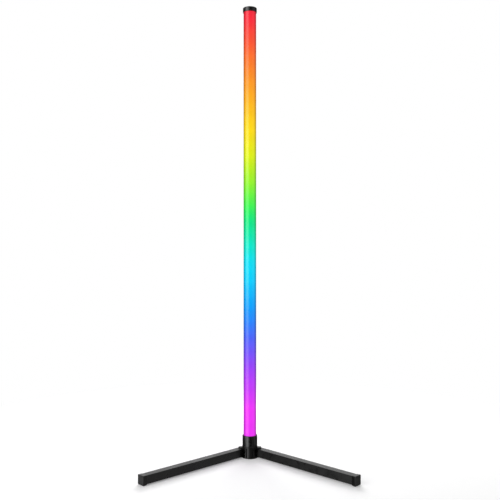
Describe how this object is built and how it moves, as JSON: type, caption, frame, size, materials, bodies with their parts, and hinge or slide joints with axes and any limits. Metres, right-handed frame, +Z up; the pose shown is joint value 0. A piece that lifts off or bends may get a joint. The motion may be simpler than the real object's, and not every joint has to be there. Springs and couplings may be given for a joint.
{
  "type": "corner floor lamp",
  "caption": "Corner floor lamp: a full-height light tube stands in a black hub with two square legs at a right angle, which fold together.",
  "frame": {"origin": "on the floor, under the axis of the light tube", "axes": "+Z up along the light tube; the legs run out towards -Y, one to each side of it; the power inlet faces +Y"},
  "size_m": [0.5238, 0.2592, 1.2],
  "materials": {
    "diffuser": "opal, lit from inside in a run of colours",
    "cap_plastic": "black, semi-gloss",
    "plug_plastic": "white, matt",
    "rubber": "black, matt",
    "aluminium": "extruded",
    "strip": "white film",
    "led": "white with a clear window",
    "hub_paint": "black, satin",
    "steel": "zinc plated",
    "jack_plastic": "black",
    "brass": "plain",
    "board": "green, satin",
    "chip": "black, matt",
    "connector": "ivory",
    "power_wire": "red",
    "led_wire": "grey",
    "leg_paint": "black powder coat, satin",
    "nylon": "natural",
    "end_plastic": "black, matt"
  },
  "bodies": {
    "stand": {"light_tube": "diffuser", "top_cap": "cap_plastic", "tube_top_plug": "plug_plastic", "tube_bottom_plug": "plug_plastic", "socket_gasket": "rubber", "base_pad": "rubber", "core_bar": "aluminium", "front_led_strip": "strip", "rear_led_strip": "strip", "front_leds": "led", "rear_leds": "led", "collar": "hub_paint", "hub_body": "hub_paint", "base_plate": "hub_paint", "collar_screws": "steel", "collar_set_screw": "steel", "base_plate_screws": "steel", "board_screws": "steel", "jack_nut": "steel", "left_pivot_pin": "steel", "right_pivot_pin": "steel", "dc_jack": "jack_plastic", "jack_contacts": "brass", "controller_board": "board", "board_chips": "chip", "board_connectors": "connector", "power_wires": "power_wire", "led_wires": "led_wire"},
    "left_leg": {"left_leg_root": "leg_paint", "left_pivot_bush": "brass", "left_pivot_washers": "nylon", "left_leg_tube": "leg_paint", "left_leg_screws": "steel", "left_end_cap": "end_plastic", "left_foot_pad": "rubber"},
    "right_leg": {"right_leg_root": "leg_paint", "right_pivot_bush": "brass", "right_pivot_washers": "nylon", "right_leg_tube": "leg_paint", "right_leg_screws": "steel", "right_end_cap": "end_plastic", "right_foot_pad": "rubber"}
  },
  "joints": [
    {"name": "left_leg_fold", "type": "hinge", "parent": "stand", "child": "left_leg", "pos_m": [-0.024, 0, 0.0131], "axis": [0, 0, 1], "range_deg": [0, 45]},
    {"name": "right_leg_fold", "type": "hinge", "parent": "stand", "child": "right_leg", "pos_m": [0.024, 0, 0.0131], "axis": [0, 0, -1], "range_deg": [0, 45]}
  ]
}
